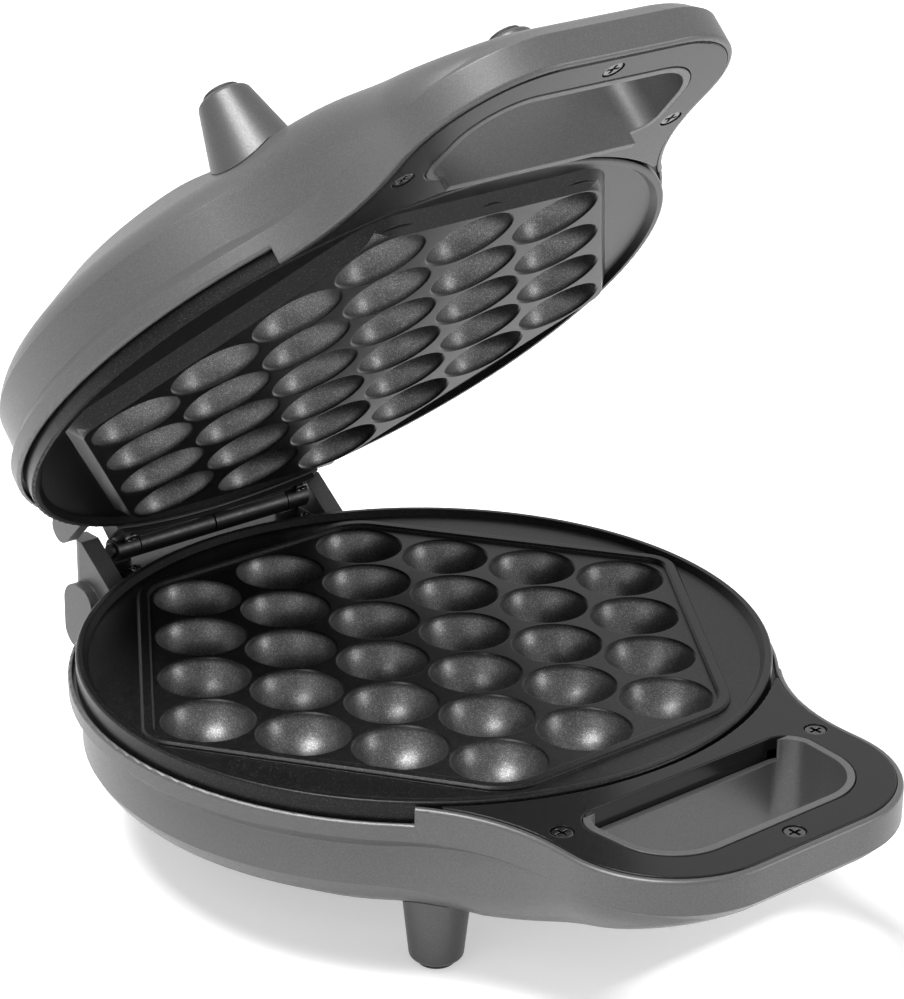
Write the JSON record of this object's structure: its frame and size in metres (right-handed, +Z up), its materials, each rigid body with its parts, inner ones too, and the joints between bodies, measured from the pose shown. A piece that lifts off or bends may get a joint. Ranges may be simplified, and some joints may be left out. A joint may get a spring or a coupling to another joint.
{
  "type": "bubble waffle maker",
  "caption": "Hinged bubble waffle maker standing open: two round cup plates in grey shells with holed black handles and tapered feet.",
  "frame": {"origin": "middle of the bounding box in plan, on the surface the feet stand on, with the lid open at its rest angle", "axes": "+Z up; +Y from the handles to the hinge; +X along the hinge, to the right seen from the handles"},
  "size_m": [0.1932, 0.263, 0.2388],
  "materials": {
    "shell": "silver-grey metallic paint, satin",
    "foot": "silver-grey metallic paint, satin",
    "plate": "black non-stick coating with fine speckle",
    "trim": "gloss black",
    "hinge": "satin black",
    "dark_screw": "dark oxide, shiny",
    "screw": "zinc plated",
    "pad": "matt black rubber",
    "element": "heat-stained tube",
    "sheet_steel": "plain sheet",
    "reflector": "aluminised sheet",
    "ceramic": "pale ceramic",
    "fuse": "plain metal can",
    "lead": "silicone insulation",
    "red_lens": "clear red",
    "green_lens": "clear green"
  },
  "bodies": {
    "base": {"base_shell": "shell", "base_plate": "plate", "base_handle_trim": "trim", "base_trim_screws": "dark_screw", "base_foot_pads": "pad", "base_foot_screws": "screw", "base_element": "element", "base_element_clips": "sheet_steel", "base_reflector": "reflector", "base_hinge_leaf": "hinge", "base_hinge_screws": "dark_screw", "base_foot_front_left": "foot", "base_foot_front_right": "foot", "base_foot_rear_left": "foot", "base_foot_rear_right": "foot", "hinge_pin": "hinge", "cord_inlet": "pad", "terminal_block": "ceramic", "thermostat": "sheet_steel", "thermal_fuse": "fuse", "block_to_element_lead": "lead", "block_to_thermostat_lead": "lead", "thermostat_to_fuse_lead": "lead", "fuse_to_element_lead": "lead"},
    "lid": {"lid_shell": "shell", "lid_plate": "plate", "lid_handle_trim": "trim", "lid_trim_screws": "dark_screw", "lid_foot_pads": "pad", "lid_foot_screws": "screw", "lid_element": "element", "lid_element_clips": "sheet_steel", "lid_reflector": "reflector", "lid_hinge_leaf": "hinge", "lid_hinge_screws": "dark_screw", "lid_foot_front_left": "foot", "lid_foot_front_right": "foot", "lid_foot_rear_left": "foot", "lid_foot_rear_right": "foot", "power_lamp": "red_lens", "ready_lamp": "green_lens"}
  },
  "joints": [
    {"name": "lid_hinge", "type": "hinge", "parent": "base", "child": "lid", "pos_m": [0, 0.11482, 0.0567], "axis": [-1, 0, 0], "range_deg": [-45, 55]}
  ]
}
